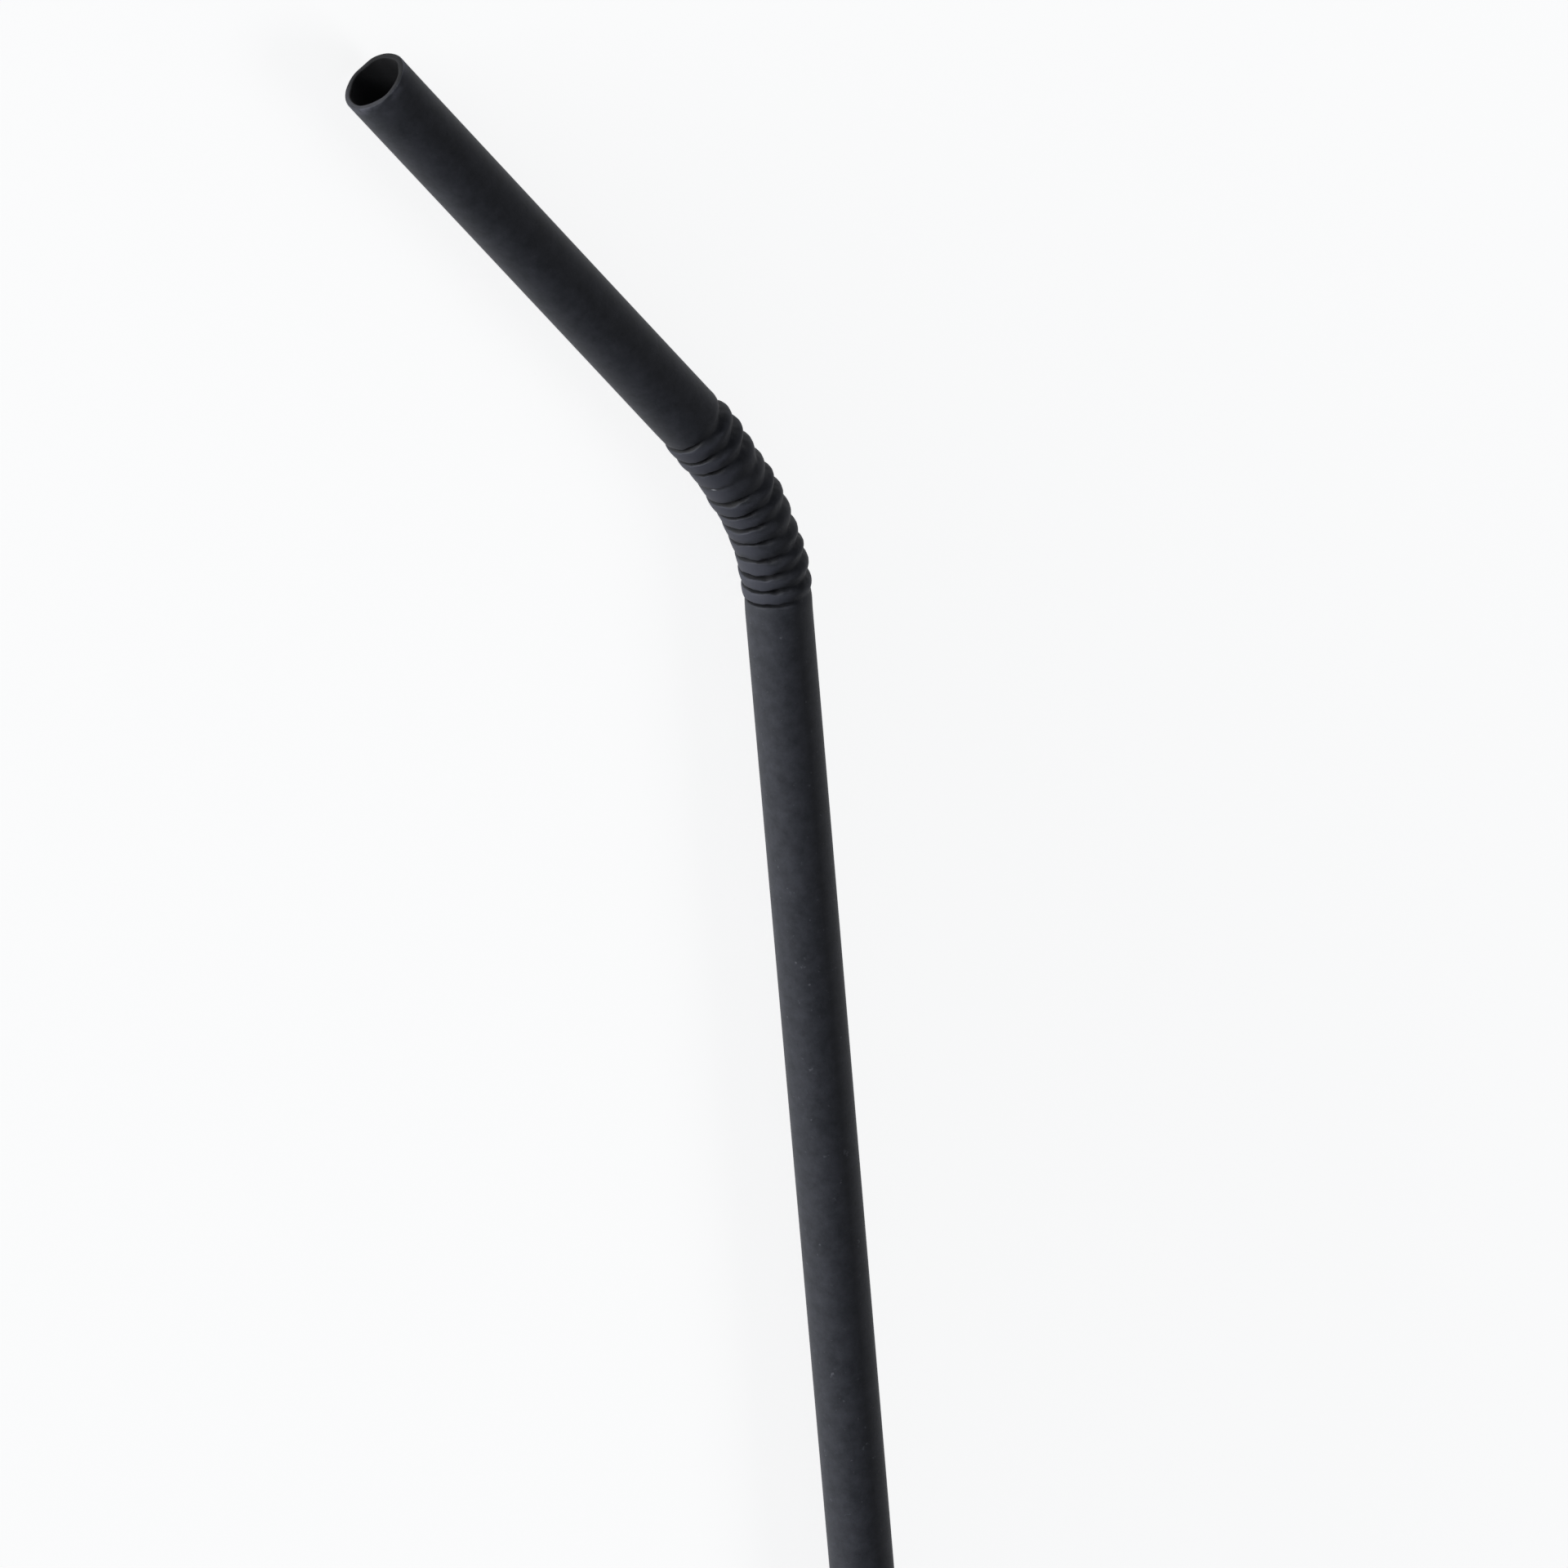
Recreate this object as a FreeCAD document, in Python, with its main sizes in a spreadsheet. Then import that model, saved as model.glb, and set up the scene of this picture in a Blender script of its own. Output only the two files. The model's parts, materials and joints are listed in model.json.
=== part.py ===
import FreeCAD, Part
import os

# A bendy drinking straw wound from paper: one tube, cut square at both ends, with a short
# corrugated stretch that lets it bend. It lies on its side as it would on a table. The long
# stem runs along X with its foot at -X, and the short arm turns towards +Y. Each corrugation
# is a round ridge between two sharp creases, and the tube turns a little at every crease.

# name in the sheet; millimetres, degrees or a plain number; meaning
DIMENSIONS = (
    ("tube_radius", 3.0, "outside radius of the straight tube"),
    ("wall", 0.5, "thickness of the wound paper"),
    ("stem_length", 140.0, "foot to the first crease"),
    ("arm_length", 49.2, "last crease to the mouth"),
    ("ridge_count", 11, "ridges between the two straight lengths"),
    ("ridge_pitch", 1.84, "crease to crease along the middle of the tube"),
    ("bend_angle", 34.8, "turn of the arm away from the stem"),
    ("bend_skew", 0.48, "share by which the first crease turns more than the mean"),
    ("crest_rise", 0.15, "crest of a ridge above the straight tube"),
    ("shoulder_rise", 0.03, "edge of a ridge above the straight tube"),
    ("crease_depth", 0.3, "bottom of a crease below the straight tube"),
    ("crease_shift", 0.1, "how far the bend draws a crease towards its outer side"),
    ("fold_gap", 0.1, "width left in the sharpest crease on its inner side"),
    ("bead_reach", 0.3, "bulge inside the tube, past each edge of a crease's groove"),
)

doc = FreeCAD.newDocument("bendy_straw")
sheet = doc.addObject("Spreadsheet::Sheet", "sizes")
for row, (alias, value, meaning) in enumerate(DIMENSIONS, start=1):
    sheet.set(f"A{row}", alias)
    sheet.set(f"B{row}", str(value))
    sheet.set(f"C{row}", meaning)
    sheet.setAlias(f"B{row}", alias)
doc.recompute()

ridge_count = int(sheet.ridge_count)
crease_count = ridge_count + 1


def turn_at(crease):
    """Formula for the turn at one crease: the most beside the stem, the least beside the arm."""
    place = 1 - 2 * crease / ridge_count
    return f"(sizes.bend_angle / {crease_count} * (1 + sizes.bend_skew * {place:.6f}))"


# Formulas of the sizes that many rings share.
SHOULDER = "(sizes.tube_radius + sizes.shoulder_rise)"
CREST = "(sizes.tube_radius + sizes.crest_rise)"
CROWN = f"(0.25 * {SHOULDER} + 0.75 * {CREST})"
CREASE = "(sizes.tube_radius - sizes.crease_depth)"
BORE = "(sizes.tube_radius - sizes.wall)"
# Half a groove's width on the axis is what keeps the sharpest crease open on its inner side.
HALF_GROOVE = f"(sizes.fold_gap / 2 + {SHOULDER} * tan({turn_at(0)} / 2))"
HALF_BEAD = f"({HALF_GROOVE} + sizes.bead_reach)"
HALF_PITCH = "sizes.ridge_pitch / 2"


def step(along="0", turn="0", sideways="0"):
    """A move along the tube and across it in the plane of the bend, then a turn."""
    return f"placement(vector({sideways}; 0; {along}); rotation(vector(0; 1; 0); {turn}))"


def place(item, base, *steps):
    """Tie an item's place to that of another item, a few steps further on."""
    item.setExpression("Placement", " * ".join([f"{base.Name}.Placement", *steps]))


def ring(name, radius, base, *steps):
    circle = doc.addObject("Part::Circle", name)
    circle.setExpression("Radius", radius)
    place(circle, base, *steps)
    return circle


def cylinder(name, radius, length):
    rod = doc.addObject("Part::Cylinder", name)
    rod.setExpression("Radius", radius)
    rod.setExpression("Height", length)
    return rod


def fuse(name, pieces):
    union = doc.addObject("Part::MultiFuse", name)
    union.Shapes = pieces
    return union


# Local Z runs along the tube and local Y points up, so a turn about local Y bends the tube in
# the flat plane that it lies in. The ridges' crests touch the ground.
stem = cylinder("stem", "sizes.tube_radius", f"sizes.stem_length - {HALF_GROOVE}")
lying = f"placement(vector(0; 0; {CREST}); rotation(vector(1; 1; 1); 120))"
stem.setExpression("Placement", lying)

# The crest of each ridge is tied to the crest before it, and all other rings to the crests.
crests = []
for ridge in range(ridge_count):
    base = crests[-1] if crests else stem
    gone = HALF_PITCH if crests else "sizes.stem_length"
    crease = step(along=gone, turn=turn_at(ridge))
    crests.append(ring(f"crest_{ridge}", CREST, base, crease, step(along=HALF_PITCH)))

arm = cylinder("arm", "sizes.tube_radius", f"sizes.arm_length - {HALF_GROOVE}")
last_crease = step(along=HALF_PITCH, turn=turn_at(ridge_count))
place(arm, crests[-1], last_crease, step(along=HALF_GROOVE))


def crease_ring(name, radius, crease):
    """The ring at the bottom of a crease, square to half the turn there."""
    half_turn = f"{turn_at(crease)} / 2"
    outwards = step(sideways="-sizes.crease_shift")
    if crease == 0:
        return ring(name, radius, stem, step("sizes.stem_length", half_turn), outwards)
    return ring(name, radius, crests[crease - 1], step(HALF_PITCH, half_turn), outwards)


def corrugations(name, crease_radius, ridge_rings, end_radius, end_gap):
    """A loft over the creases and ridges, closed by an end ring on the stem and on the arm.

    ridge_rings gives each ring of a ridge as its radius and its distance past the crest.
    """
    first = f"sizes.stem_length - {end_gap}"
    rings = [ring(f"{name}_stem_end", end_radius, stem, step(along=first))]
    for ridge, crest in enumerate(crests):
        rings.append(crease_ring(f"{name}_crease_{ridge}", crease_radius, ridge))
        for number, (radius, past_crest) in enumerate(ridge_rings):
            label = f"{name}_ridge_{ridge}_{number}"
            rings.append(ring(label, radius, crest, step(along=past_crest)))
    rings.append(crease_ring(f"{name}_crease_{ridge_count}", crease_radius, ridge_count))
    last = f"{end_gap} - {HALF_GROOVE}"
    rings.append(ring(f"{name}_arm_end", end_radius, arm, step(along=last)))
    skin = doc.addObject("Part::Loft", name)
    skin.Sections = rings
    skin.Solid = True
    skin.Ruled = True
    return skin


# Outside, a ridge is a rounded band between two narrow grooves.
to_shoulder = f"({HALF_PITCH} - {HALF_GROOVE})"
outside = corrugations(
    "outside",
    CREASE,
    (
        (SHOULDER, f"-{to_shoulder}"),
        (CROWN, f"-{to_shoulder} / 2"),
        (CREST, "0"),
        (CROWN, f"{to_shoulder} / 2"),
        (SHOULDER, to_shoulder),
    ),
    "sizes.tube_radius",
    HALF_GROOVE,
)

# Inside, the paper is as thick, so each crease stands into the bore as a wider bead.
to_bead = f"({HALF_PITCH} - {HALF_BEAD})"
inside = corrugations(
    "inside",
    f"{CREASE} - sizes.wall",
    (
        (f"{CREST} - sizes.wall", f"-{to_bead}"),
        (f"{CREST} - sizes.wall", to_bead),
    ),
    BORE,
    HALF_BEAD,
)

stem_bore = cylinder("stem_bore", BORE, f"sizes.stem_length - {HALF_BEAD}")
place(stem_bore, stem)
arm_bore = cylinder("arm_bore", BORE, f"sizes.arm_length - {HALF_BEAD}")
place(arm_bore, arm, step(along="sizes.bead_reach"))

straw = doc.addObject("Part::Cut", "straw")
straw.Label = "straw"
straw.Base = fuse("filled_straw", [stem, outside, arm])
straw.Tool = fuse("bore", [stem_bore, inside, arm_bore])
doc.recompute()

# The origin is on the ground under the middle of the straw's footprint.
middle = straw.Shape.optimalBoundingBox().Center
straw.Placement = FreeCAD.Placement(FreeCAD.Vector(-middle.x, -middle.y, 0), FreeCAD.Rotation())
doc.recompute()

for item in doc.Objects:
    if "Invalid" in item.State or "Error" in item.State:
        raise RuntimeError(f"{item.Name} failed: {item.State}")
if straw.Shape.isNull() or not straw.Shape.isValid() or len(straw.Shape.Solids) != 1:
    raise RuntimeError("the straw is not one valid solid")

os.makedirs("parts", exist_ok=True)
straw.Shape.exportStep("parts/straw.step")
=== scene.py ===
import json
import math

import bmesh
import bpy
from mathutils import Matrix, Vector, noise


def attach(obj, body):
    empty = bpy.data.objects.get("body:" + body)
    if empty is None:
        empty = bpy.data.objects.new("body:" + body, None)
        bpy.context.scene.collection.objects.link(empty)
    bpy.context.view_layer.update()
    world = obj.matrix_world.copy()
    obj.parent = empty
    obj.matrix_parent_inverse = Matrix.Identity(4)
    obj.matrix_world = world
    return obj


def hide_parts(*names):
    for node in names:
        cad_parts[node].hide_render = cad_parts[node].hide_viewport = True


bl_info = {
    "name": "Bendy Paper Straw",
    "version": (1, 0, 0),
    "blender": (4, 5, 0),
    "location": "View3D > Sidebar > Straw",
    "description": "A wound-paper drinking straw with a crimped bend, and the studio it lies in",
    "category": "Add Mesh",
}

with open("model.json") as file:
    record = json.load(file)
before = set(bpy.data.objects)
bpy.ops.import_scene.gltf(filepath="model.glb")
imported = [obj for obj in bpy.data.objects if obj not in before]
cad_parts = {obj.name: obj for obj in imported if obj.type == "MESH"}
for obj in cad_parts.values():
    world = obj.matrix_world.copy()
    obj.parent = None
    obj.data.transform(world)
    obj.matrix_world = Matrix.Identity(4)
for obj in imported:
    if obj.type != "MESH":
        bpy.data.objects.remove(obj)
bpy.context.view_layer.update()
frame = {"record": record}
mounts = {mount["name"]: mount for mount in frame["record"]["mounts"]}

MM = 0.001
NODE = "straw"

# The folds were rolled and then bent by hand, so no two are alike. Sizes are in millimetres and
# run from the stem to the arm.
# How far each crease has drifted along the tube, how far it leans on its inner side, and how far
# it bows to the foot on top.
CREASE_DRIFT = (0.16, -0.06, -0.14, -0.38, -0.27, -0.19, -0.30, -0.40, -0.28, 0.0, -0.13, -0.09)
CREASE_LEAN = (0.0, -0.08, -0.22, 0.10, 0.10, -0.06, -0.12, 0.0, 0.12, 0.10, 0.05, 0.0)
CREASE_BOW = (0.08, 0.20, 0.26, 0.24, 0.26, 0.19, 0.26, 0.22, 0.18, 0.20, 0.12, 0.04)
# How deep each crease is on the inner side of the bend, on top and on its outer side.
INNER_DEPTH = (0.58, 0.60, 0.60, 0.48, 0.56, 0.58, 0.46, 0.46, 0.36, 0.42, 0.48, 0.42)
TOP_DEPTH = (0.10, 0.24, 0.26, 0.26, 0.20, 0.13, 0.16, 0.18, 0.20, 0.10, 0.10, 0.13)
OUTER_DEPTH = (0.08, 0.24, 0.31, 0.40, 0.41, 0.30, 0.40, 0.39, 0.66, 0.52, 0.38, 0.49)
# How high each ridge stands, how much higher its edge towards the mouth is on the inner side, and
# how far the bend has pushed it outwards.
RIDGE_RISE = (0.15, 0.16, 0.09, 0.05, 0.07, 0.09, 0.15, 0.06, 0.10, 0.24, 0.24)
RIDGE_TILT = (0.03, 0.12, 0.0, 0.05, 0.10, 0.02, 0.05, 0.02, 0.0, 0.04, 0.04)
RIDGE_SWAY = (0.06, 0.12, 0.15, 0.10, 0.11, 0.15, 0.03, 0.01, 0.02, 0.01, 0.03)
# One crease, on the arm's side of the middle, is pulled nearly flat: on its side that faces
# inwards and up, how far round from there, and how nearly.
SLACK_CREASE = 8
SLACK_SIDE = (0.75, 0.66)
SLACK_REACH = 0.9
SLACK_SHARE = 0.85


# ---------------------------------------------------------------------------
# Sizes and colours
# ---------------------------------------------------------------------------


def length(name, description, default):
    return bpy.props.FloatProperty(
        name=name, description=description, default=default, unit="LENGTH", precision=5
    )


def lengths(name, description, millimetres):
    return bpy.props.FloatVectorProperty(
        name=name,
        description=description,
        default=[value * MM for value in millimetres],
        size=len(millimetres),
        unit="LENGTH",
        precision=5,
    )


def amount(name, description, default):
    return bpy.props.FloatProperty(name=name, description=description, default=default)


def angle(name, description, degrees):
    return bpy.props.FloatProperty(
        name=name, description=description, default=math.radians(degrees), subtype="ANGLE"
    )


def colour(name, description, sheet_colour):
    return bpy.props.FloatVectorProperty(
        name=name,
        description=description,
        default=linear(sheet_colour),
        size=4,
        min=0.0,
        max=1.0,
        subtype="COLOR",
    )


def linear(hex_colour):
    """A hex sRGB colour, such as #2c2d31, as linear red, green, blue and alpha."""
    parts = [int(hex_colour[i : i + 2], 16) / 255 for i in (1, 3, 5)]
    return [p / 12.92 if p <= 0.04045 else ((p + 0.055) / 1.055) ** 2.4 for p in parts] + [1.0]


class StrawSizes(bpy.types.PropertyGroup):
    tube_radius: length(
        "Tube radius", "Outside radius", mounts["stem_outside"]["dims"]["r_mm"] * MM
    )
    bore_radius: length("Bore radius", "Inside radius", mounts["foot_bore"]["dims"]["r_mm"] * MM)
    stem_length: length("Stem length", "Foot to the first crease", 140.0 * MM)
    arm_length: length("Arm length", "Last crease to the mouth", 49.2 * MM)
    ridge_pitch: length("Ridge pitch", "Mean crease to crease along the middle", 1.84 * MM)
    bend_angle: angle("Bend angle", "Turn of the arm away from the stem", 34.8)
    bend_skew: amount(
        "Bend skew", "Share by which the first crease turns more than the mean", 0.48
    )
    crease_drift: lengths(
        "Crease drift", "How far along the tube each crease lies from its even place", CREASE_DRIFT
    )
    crease_lean: lengths(
        "Crease lean", "How far each crease leans to the mouth on its inner side", CREASE_LEAN
    )
    crease_bow: lengths("Crease bow", "How far each crease bows to the foot on top", CREASE_BOW)
    crease_wander: length(
        "Crease wander", "How far a crease strays from a true circle", 0.12 * MM
    )
    crease_rounding: length("Crease rounding", "Softness of a crease's bottom", 0.05 * MM)
    slit_width: length(
        "Slit width", "Half the width of a crease on the inner side of the bend", 0.22 * MM
    )
    inner_depth: lengths(
        "Inner depth", "Depth of each crease on the inner side of the bend", INNER_DEPTH
    )
    top_depth: lengths("Top depth", "Depth of each crease on top", TOP_DEPTH)
    outer_depth: lengths(
        "Outer depth", "Depth of each crease on the outer side of the bend", OUTER_DEPTH
    )
    ridge_rise: lengths("Ridge rise", "Height of each ridge above the plain tube", RIDGE_RISE)
    ridge_tilt: lengths(
        "Ridge tilt", "Rise of each ridge towards the mouth on its inner side", RIDGE_TILT
    )
    ridge_sway: lengths(
        "Ridge sway", "How far the bend has pushed each ridge outwards", RIDGE_SWAY
    )
    pillow: length("Pillow", "How much a ridge crowns on the inner side", 0.05 * MM)
    bead_depth: length("Bead depth", "How far a crease bulges into the bore", 0.50 * MM)
    bead_width: length("Bead width", "Half the width of a crease's bulge in the bore", 0.60 * MM)
    flare: length("Flare", "Swelling of the arm beside its crease", 0.055 * MM)
    rim_rounding: length("Rim rounding", "Softened edge of the cut paper", 0.16 * MM)
    rim_wander: length("Rim wander", "Unevenness of the cut", 0.1 * MM)
    segments: bpy.props.IntProperty(
        name="Segments", description="Faces around the tube", default=128
    )


class PaperLook(bpy.types.PropertyGroup):
    paper: colour("Dyed paper", "Charcoal-black kraft ply", "#24272e")
    wear_and_painted_shading: colour("Thin dye", "Where the dye has taken less well", "#3c3e46")
    # Lighter fold ridges: partly rubbed dye, partly painted light on the bend's lit inner side.
    rubbed_and_lit: colour("Rubbed dye", "Where folding has rubbed the dye on a ridge", "#40424c")
    # Painted shade deep in the creases.
    crease: colour("Crease", "Dye gathered deep in a crease", "#17181d")
    fleck: colour("Fleck", "Undyed fibre ends on the surface", "#74767e")
    cut: colour("Cut edge", "Raw end of the plies", "#3f4045")
    # A painted highlight: a pale spot where the slack crease catches the light.
    painted_glint: colour("Scrape", "One bare scrape by the slack crease", "#a4a6ac")
    scuff: colour("Scuff", "Outside rubbed pale beside a cut", "#5a5c66")
    # Dark glue lines between the plies, also used as the painted shade on the cut's far side.
    glue_and_cut_shade: colour("Glue line", "Dark line between two plies at the cut", "#0d0e10")
    # The bore: the dyed inner ply, painted far darker than the paper as the shade inside it.
    lining_and_shade: colour("Lining", "Inner ply, dyed through", "#0d0e11")


class StudioLook(bpy.types.PropertyGroup):
    floor: colour("Floor", "Pale matt floor", "#e8e8e6")
    walls: colour("Walls", "White walls in cool daylight", "#eef4ff")
    floor_glow: amount("Floor glow", "What lifts the floor to white, to the eye alone", 0.82)
    glossy_glow: amount("Glossy glow", "The floor's glow in reflections", 0.95)
    key_level: amount("Key", "Level of the window side", 1.42)
    fill_level: amount("Fill", "Level of the far side", 0.11)
    wall_level: amount("Wall level", "Level of the white walls", 0.222)
    ceiling_level: amount("Ceiling level", "Level of the dim ceiling", 0.102)
    azimuth: angle("Azimuth", "Camera's compass place", 46.2)
    elevation: angle("Elevation", "Camera's height angle", 50.18)
    roll: angle("Roll", "Camera's turn about its own axis", 121.4)
    distance: length("Distance", "Camera to the point it aims at", 873.9 * MM)
    lens: bpy.props.FloatProperty(
        name="Lens", description="Focal length", default=225.0, unit="CAMERA"
    )


# ---------------------------------------------------------------------------
# The straw's path and profile
# ---------------------------------------------------------------------------


class Path:
    """Where the tube runs: straight lengths, with a small turn in each fold.

    A frame on the path has Z along the tube, X on the inner side of the bend and Y up.
    """

    def __init__(self, sizes):
        foot = mounts["stem_outside"]
        along = -Vector(foot["axis"])
        up = Vector((0, 0, 1))
        lying = Matrix((up.cross(along), up, along)).transposed().to_4x4()
        count = len(sizes.crease_drift)
        mean_turn = sizes.bend_angle / count
        skews = [sizes.bend_skew * (1 - 2 * k / (count - 1)) for k in range(count)]
        self.turns = [mean_turn * (1 + skew) for skew in skews]
        self.turn_places = [sizes.stem_length + k * sizes.ridge_pitch for k in range(count)]
        drifted = zip(self.turn_places, sizes.crease_drift)
        self.creases = [place + drift for place, drift in drifted]
        self.end = self.turn_places[-1] + sizes.arm_length
        self.reach = sizes.ridge_pitch / 2
        self.runs = [Matrix.Translation(foot["pos_m"]) @ lying]
        for start, stop, turn in zip([0.0, *self.turn_places], self.turn_places, self.turns):
            run = Matrix.Translation((0, 0, stop - start))
            self.runs.append(self.runs[-1] @ run @ Matrix.Rotation(turn, 4, "Y"))

    def frame(self, along):
        """The frame at a distance along the tube. Near a turn it leans towards the next run."""
        passed = sum(along > place for place in self.turn_places)
        start = self.turn_places[passed - 1] if passed else 0.0
        lean = 0.0
        for place, turn in zip(self.turn_places, self.turns):
            share = 1 - abs(along - place) / self.reach
            if share > 0:
                lean = math.copysign(share * turn / 2, place - along)
        at = self.runs[passed] @ Matrix.Translation((0, 0, along - start))
        return at @ Matrix.Rotation(lean, 4, "Y")


def mix(first, second, share):
    return first + (second - first) * share


def rim_rings(sizes, end, outwards):
    """Rings over a cut end, from the outer wall to the inner one, with both edges rounded."""
    soft = sizes.rim_rounding
    outer, inner = [], []
    for turn in map(math.radians, (0, 30, 60, 90)):
        along = end - outwards * soft * (1 - math.sin(turn))
        drop = soft * (1 - math.cos(turn))
        outer.append((along, sizes.tube_radius - drop))
        inner.append((along, sizes.bore_radius + drop))
    return [*outer, (end, (sizes.tube_radius + sizes.bore_radius) / 2), *inner[::-1]]


# Where the outer rings lie beside a crease: in shares of the slit's half width to just past its
# edge, and then in shares of the way from there to the middle of the ridge.
SLIT_STEPS = (0.0, 0.12, 0.26, 0.42, 0.58, 0.74, 0.88, 0.98, 1.02, 1.1)
RIDGE_STEPS = (0.14, 0.35, 0.65, 1.0)
# Spacing of the rings on the plain lengths, outside and in the bore.
OUTSIDE_SPACING = 3.5 * MM
BORE_SPACING = 5 * MM
# How much wider the bore is half-way up a crease's bead than at its tip.
BEAD_SHOULDER = 0.12 * MM


def fold_rings(sizes, path):
    """Distances along the tube of the outer rings in the folded stretch."""
    ends = [path.creases[0] - 2 * path.reach, *path.creases, path.creases[-1] + 2 * path.reach]
    slit = [step * sizes.slit_width for step in SLIT_STEPS]
    distances = []
    for near, far in zip(ends, ends[1:]):
        half = (far - near) / 2
        steps = slit + [mix(slit[-1], half, step) for step in RIDGE_STEPS]
        distances += [near + step for step in steps]
        distances += [far - step for step in steps[-2:0:-1]]
    return distances + ends[-1:]


def even_rings(start, stop, spacing):
    count = max(1, round(abs(stop - start) / spacing))
    return [mix(start, stop, k / count) for k in range(count + 1)]


def straw_rings(sizes, path):
    """Distance along and radius of every ring, up the outside and back down the inside."""
    soft = sizes.rim_rounding
    folded = fold_rings(sizes, path)
    outside = even_rings(soft, folded[0], OUTSIDE_SPACING)[1:-1] + folded
    outside += even_rings(folded[-1], path.end - soft, OUTSIDE_SPACING)[1:-1]
    rings = [(along, sizes.tube_radius) for along in outside]
    rings += rim_rings(sizes, path.end, 1)

    bead = sizes.bead_width
    ridge = sizes.bore_radius + min(sizes.ridge_rise)
    tip = sizes.bore_radius - sizes.bead_depth
    arm_bore = even_rings(path.end - soft, path.creases[-1] + bead, BORE_SPACING)[1:]
    rings += [(along, sizes.bore_radius) for along in arm_bore]
    for number in range(len(path.creases) - 1, -1, -1):
        crease = path.creases[number]
        rings += [
            (crease + 0.5 * bead, tip + BEAD_SHOULDER),
            (crease, tip),
            (crease - 0.5 * bead, tip + BEAD_SHOULDER),
        ]
        if number:
            rings += [(crease - bead, ridge), (path.creases[number - 1] + bead, ridge)]
    stem_bore = even_rings(path.creases[0] - bead, soft, BORE_SPACING)[:-1]
    rings += [(along, sizes.bore_radius) for along in stem_bore]
    return rings + rim_rings(sizes, 0.0, -1)[::-1]


# ---------------------------------------------------------------------------
# The straw's mesh
# ---------------------------------------------------------------------------


def wind_tube(mesh, ring_count, segments):
    """A closed wall of rings, one apart along Z, whose last ring is joined to its first."""
    bmesh.ops.create_cone(
        mesh, segments=segments, radius1=1.0, radius2=1.0, depth=ring_count - 1
    )
    lengthways = [
        edge for edge in mesh.edges if abs(edge.verts[0].co.z - edge.verts[1].co.z) > 0.5
    ]
    bmesh.ops.subdivide_edges(
        mesh, edges=lengthways, cuts=ring_count - 2, use_grid_fill=True
    )
    rings = [[] for _ in range(ring_count)]
    for vertex in mesh.verts:
        rings[round(vertex.co.z + (ring_count - 1) / 2)].append(vertex)
    bmesh.ops.bridge_loops(mesh, edges=[edge for edge in mesh.edges if edge.is_boundary])
    return rings


def smooth_share(value, low, high):
    """0 below low and 1 above high, eased in between."""
    share = min(1.0, max(0.0, (value - low) / (high - low)))
    return share * share * (3 - 2 * share)


def wander(x, y, along, size):
    """Smooth unevenness from -1 to 1 that changes over about the given size.

    Unevenness of another kind is read some millimetres further along the tube.
    """
    return noise.noise(Vector((x, y, along)) / size)


def slackness(crease, x, y, radius):
    """How nearly a crease is pulled flat: one crease is, all round but on its far side."""
    if crease != SLACK_CREASE:
        return 0.0
    facing = (SLACK_SIDE[0] * x + SLACK_SIDE[1] * y) / radius
    return SLACK_SHARE * min(1.0, max(0.0, SLACK_REACH + facing))


def between(values, places, along):
    """The value at a distance along the tube, eased from each place's value to the next."""
    if along <= places[0]:
        return values[0]
    for value, place, next_value, next_place in zip(values, places, values[1:], places[1:]):
        if along < next_place:
            return mix(value, next_value, smooth_share(along, place, next_place))
    return values[-1]


# Where across the tube the folds go from open to pressed, from 0 at the outer side of the bend
# to 1 at its inner side, and how much further in that starts at each crease after the first.
PRESSED_FROM, PRESSED_TO = 0.38, 0.98
PRESSED_STEP = 0.02
# A crease's bottom is this much rounder where it is open.
OPEN_ROUNDING = 4.0
# A ridge's height on top, in shares of its height at the sides.
RISE_ON_TOP = 0.6
# How far up the arm its swelling reaches.
FLARE_REACH = 20 * MM
# How steeply a round ridge falls into its crease: gently on top, late on the outer side, and
# where between the middle and the outer side that starts to change.
FALL_ON_TOP, FALL_OUTSIDE = 1.7, 3.0
OUTSIDE_FROM = -0.1
# How steeply a slit's walls fall, by how much it is narrower where it is narrowest, and over what
# length that changes.
SLIT_FALL = 0.9
SLIT_NARROWING = 0.4
NARROWING_SIZE = 1.1 * MM
# How much the depth of a crease varies along it, and over what length.
DEPTH_VARIES = 0.25
DEPTH_SIZE = 2.2 * MM
# How much a pressed ridge crowns towards the top and where the bend squeezes it hardest, and how
# far inwards that starts.
CROWN_ON_TOP, CROWN_INSIDE = 0.4, 1.3
SQUEEZED_FROM = 0.8
# What share of its height a pressed ridge loses towards its edges.
RIDGE_DROP = 0.3
# The height at which a ridge is fully lightened, partly rubbed dye and partly painted light, the
# depths over which a crease turns dark with painted shade, and how much of both is left on the
# outer side of the bend.
LIGHTER_RIDGE_HEIGHT = 0.06 * MM
DARK_FROM, DARK_TO = 0.01 * MM, 0.22 * MM
WEAR_AND_SHADING_OUTSIDE = 0.2
# A crease's long and short kinks, and how far the short ones stray beside the long ones.
LONG_KINK, SHORT_KINK = 1.8 * MM, 0.7 * MM
SHORT_KINK_SHARE = 0.8


def tightness(side, crease):
    """How tightly a fold is pressed: 1 on the inner side of the bend, 0 on its outer side.

    The folds near the stem, which turn more, are pressed further around.
    """
    return smooth_share((1 + side) / 2, PRESSED_FROM + PRESSED_STEP * crease, PRESSED_TO)


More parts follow.
